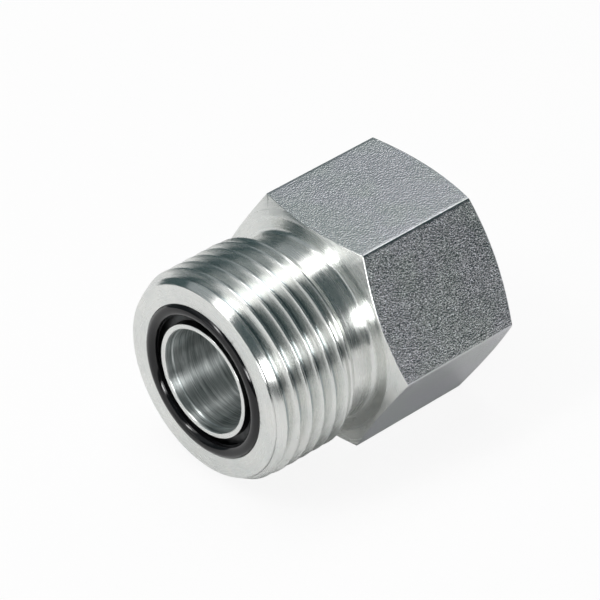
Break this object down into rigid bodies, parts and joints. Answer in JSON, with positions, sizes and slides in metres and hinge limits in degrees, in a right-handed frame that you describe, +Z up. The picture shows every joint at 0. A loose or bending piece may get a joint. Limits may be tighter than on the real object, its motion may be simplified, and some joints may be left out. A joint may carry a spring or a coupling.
{
  "type": "face seal fitting",
  "caption": "Straight hydraulic adapter: a male O-ring face seal nose with a captive O-ring, a hexagon body, and a female parallel port in the far end.",
  "frame": {"origin": "centre of the nose's flat sealing face, on the fitting's axis", "axes": "+X along the bore from the sealing face to the female port, +Z up, with the fitting lying on one flat of its hexagon"},
  "size_m": [0.0405, 0.0368, 0.032],
  "materials": {
    "plated_steel": "bright zinc plate on turned steel, with rougher drawn bar on the hexagon's flats",
    "black_rubber": "smooth, slightly oily black nitrile rubber"
  },
  "bodies": {
    "root": {"fitting_body": "plated_steel", "o_ring": "black_rubber"}
  },
  "joints": []
}
